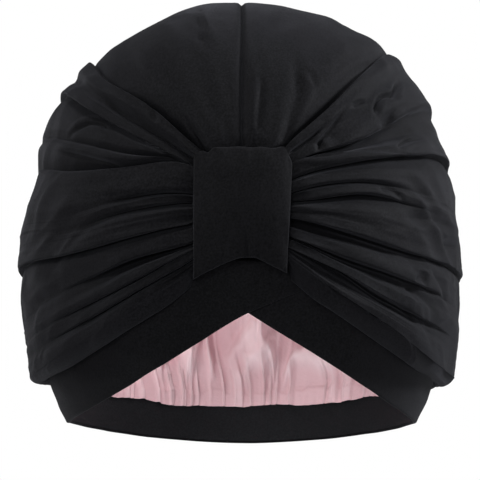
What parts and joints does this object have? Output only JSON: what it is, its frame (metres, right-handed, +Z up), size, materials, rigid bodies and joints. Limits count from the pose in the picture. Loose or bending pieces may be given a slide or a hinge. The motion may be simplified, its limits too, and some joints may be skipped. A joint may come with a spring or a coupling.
{
  "type": "shower cap",
  "caption": "Turban-style shower cap: a puffed crown gathered into a front knot wrap, a head band with crossed ends and a pleated satin lining.",
  "frame": {"origin": "the middle of the head opening, level with the band's lower edge over the ears, where the head sits", "axes": "+X to the viewer's right when facing the knot, +Y to the back of the head, +Z up"},
  "size_m": [0.2219, 0.2447, 0.2254],
  "materials": {
    "crown_jersey": "soft matte knit with a faint sheen",
    "wrap_jersey": "soft matte knit",
    "band_jersey": "soft matte knit over elastic",
    "lining_satin": "crinkled coated satin"
  },
  "bodies": {
    "root": {"crown_left_panel": "crown_jersey", "crown_right_panel": "crown_jersey", "knot_wrap": "wrap_jersey", "head_band": "band_jersey", "lining": "lining_satin"}
  },
  "joints": []
}
